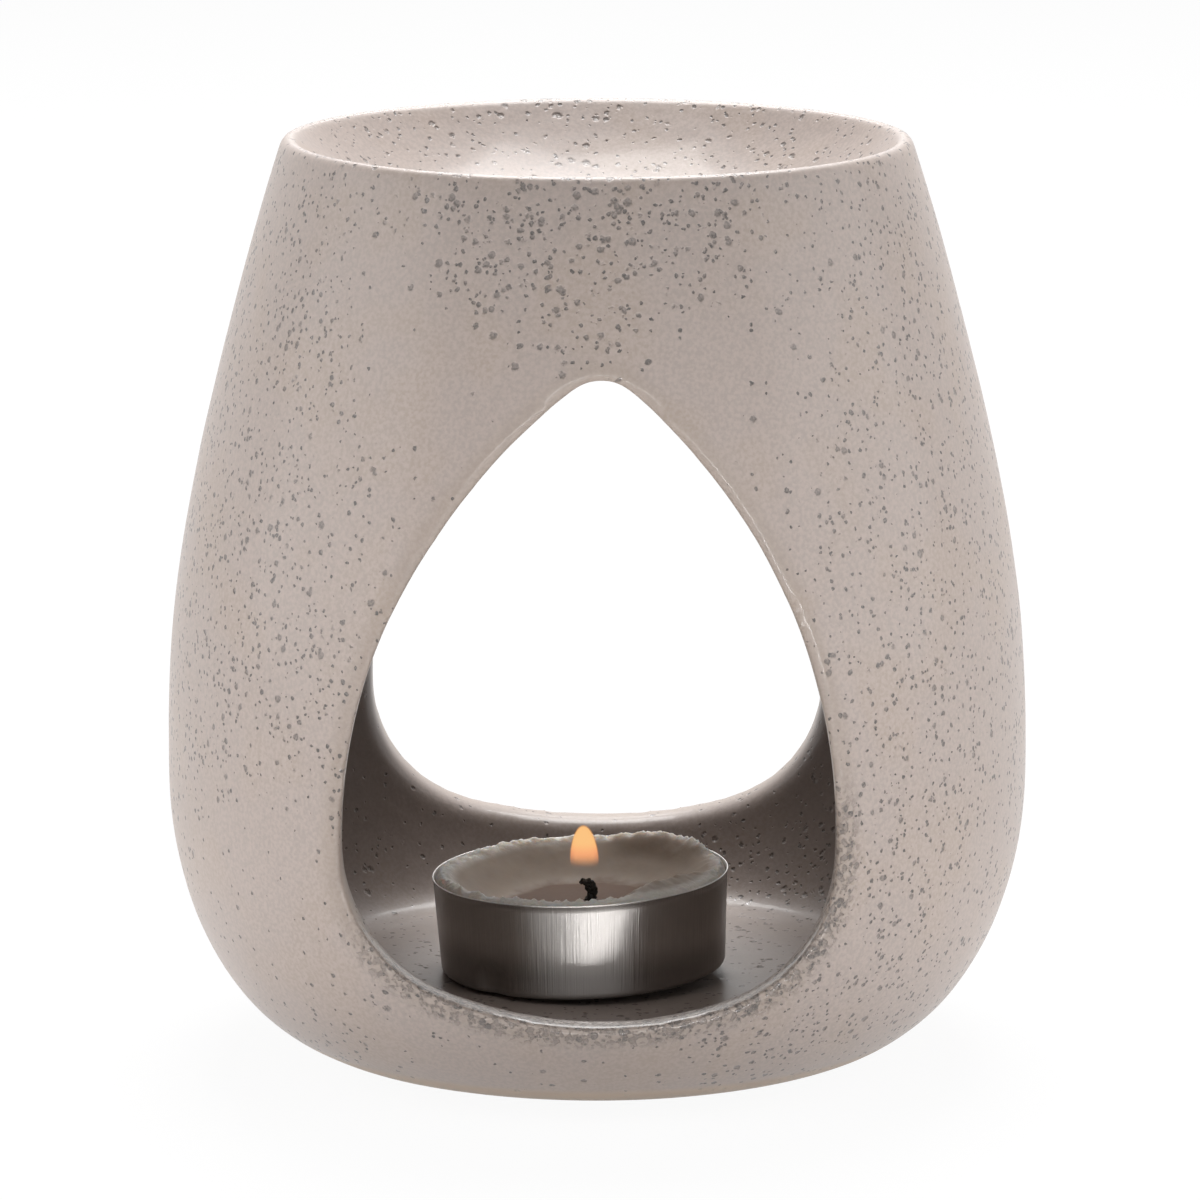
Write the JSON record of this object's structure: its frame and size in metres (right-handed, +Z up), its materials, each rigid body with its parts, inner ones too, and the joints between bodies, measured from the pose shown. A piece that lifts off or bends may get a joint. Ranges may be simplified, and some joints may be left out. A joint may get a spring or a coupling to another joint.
{
  "type": "wax melt burner",
  "caption": "Round glazed ceramic wax melt burner with a melting dish on top and an arched opening front and back, heated by a loose tea light that draws out of the front.",
  "frame": {"origin": "middle of the foot, on the surface that the burner stands on", "axes": "+Z up, the front opening faces -Y, +X to the right seen from the front"},
  "size_m": [0.1108, 0.1023, 0.118],
  "materials": {
    "glaze": "satin speckled glaze",
    "cup_foil": "bright drawn foil",
    "wax": "translucent paraffin",
    "wick": "charred cotton",
    "tinplate": "plain"
  },
  "bodies": {
    "burner": {"burner_body": "glaze"},
    "tea_light": {"tea_light_cup": "cup_foil"},
    "candle": {"candle_wax": "wax", "wick": "wick", "wick_sustainer": "tinplate"}
  },
  "joints": [
    {"name": "tea_light_draw", "type": "slide", "parent": "burner", "child": "tea_light", "axis": [0, -0.9397, 0.342], "range_m": [0, 0.11]},
    {"name": "candle_lift", "type": "slide", "parent": "tea_light", "child": "candle", "axis": [-0.0349, 0, 0.9994], "range_m": [0, 0.015]}
  ]
}
